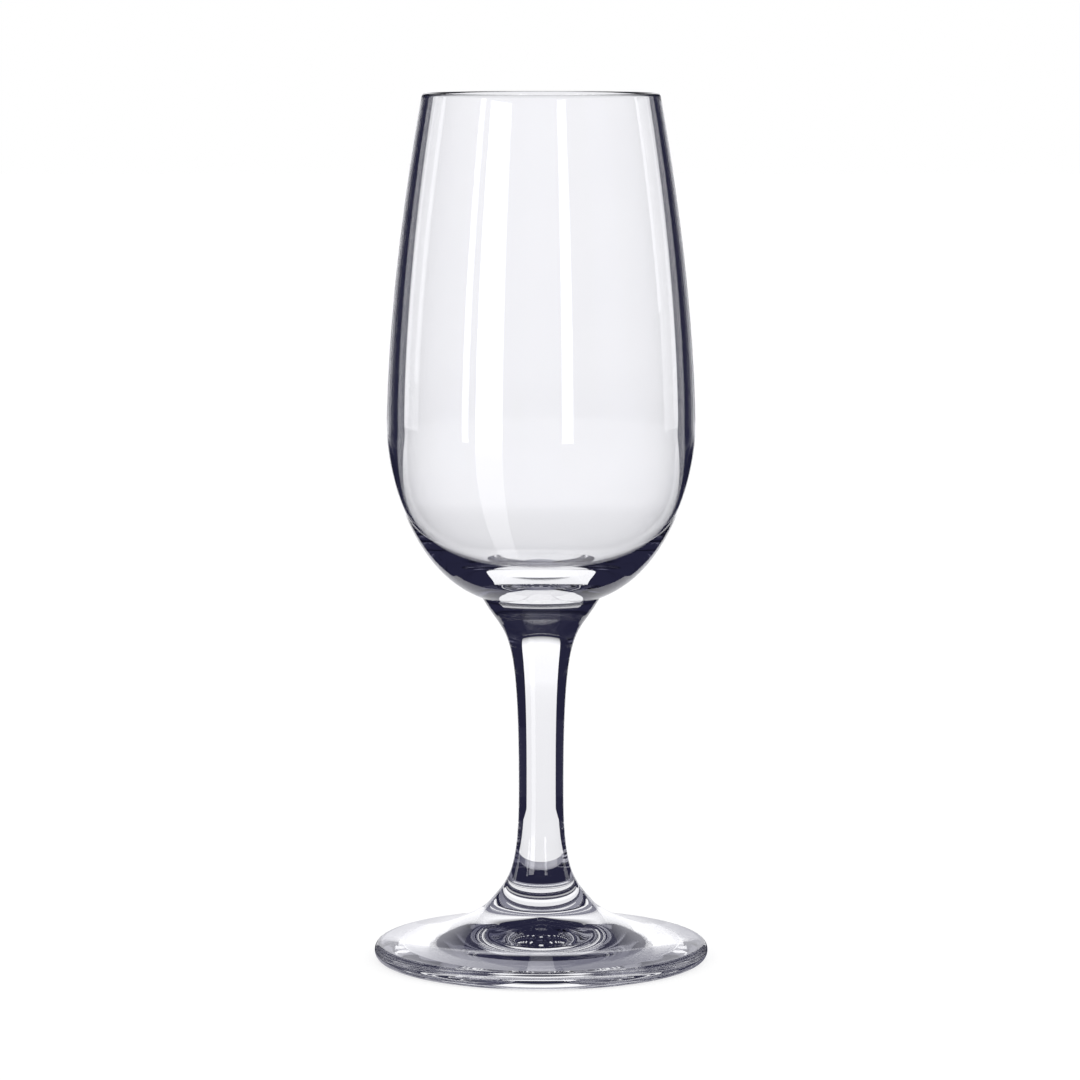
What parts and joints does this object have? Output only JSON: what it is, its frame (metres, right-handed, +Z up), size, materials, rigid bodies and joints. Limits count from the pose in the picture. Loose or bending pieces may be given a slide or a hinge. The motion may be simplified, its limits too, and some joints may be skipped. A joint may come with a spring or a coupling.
{
  "type": "sherry glass",
  "caption": "Clear stemmed sherry glass: a deep bowl that narrows to a fire-polished rim, on a slender stem and a round foot.",
  "frame": {"origin": "centre of the circle on which the glass stands, on the table's surface", "axes": "+Z up along the glass's axis, from the foot to the rim; X and Y are any two directions across, since the glass is round"},
  "size_m": [0.0588, 0.0588, 0.152],
  "materials": {
    "clear_glass": "clear, colourless, fire-polished"
  },
  "bodies": {
    "root": {"bowl": "clear_glass", "stem": "clear_glass", "foot": "clear_glass"}
  },
  "joints": []
}
